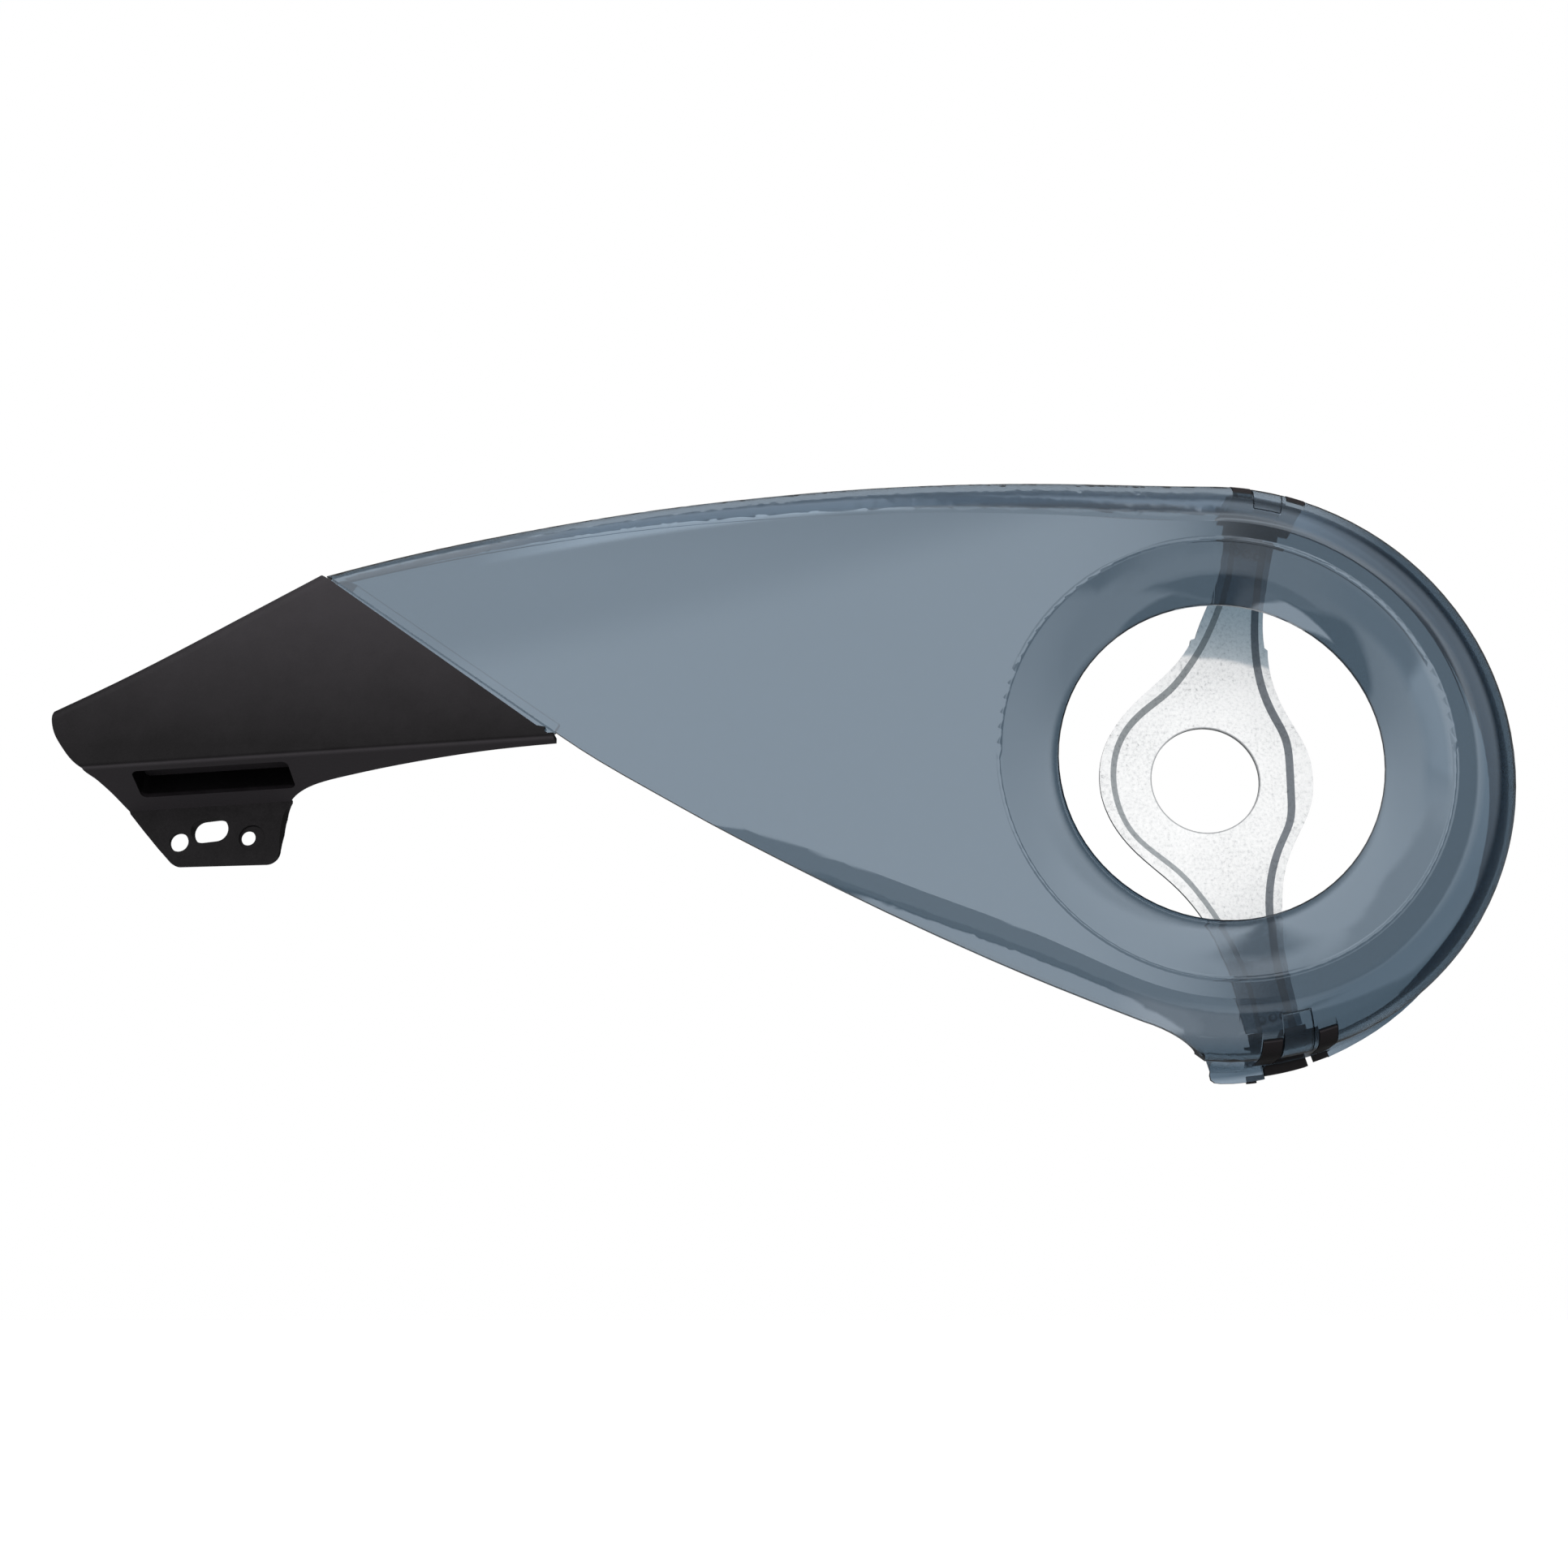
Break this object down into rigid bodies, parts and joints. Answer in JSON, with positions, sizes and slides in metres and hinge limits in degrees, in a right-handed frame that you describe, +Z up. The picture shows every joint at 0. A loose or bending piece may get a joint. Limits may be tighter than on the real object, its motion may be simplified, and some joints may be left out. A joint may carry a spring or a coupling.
{
  "type": "bicycle chain guard",
  "caption": "Bicycle chain guard: smoked see-through shell with a dished crank opening, black rear end piece and a zinc-coated bottom-bracket plate clipped into the rim.",
  "frame": {"origin": "bottom-bracket axis, in the front plane of the bracket plate's pan", "axes": "+X towards the front of the bicycle, +Y from the guard's face towards the bicycle frame, +Z up"},
  "size_m": [0.4602, 0.0388, 0.1963],
  "materials": {
    "smoked_plastic": "polished, see-through smoke grey",
    "black_plastic": "fine grain, satin",
    "zinc_plate": "zinc coated, speckled",
    "clip_plastic": "moulded, satin"
  },
  "bodies": {
    "root": {"guard_shell": "smoked_plastic", "tail_piece": "black_plastic", "bracket_plate": "zinc_plate", "upper_clip": "clip_plastic", "lower_clip": "clip_plastic"}
  },
  "joints": []
}
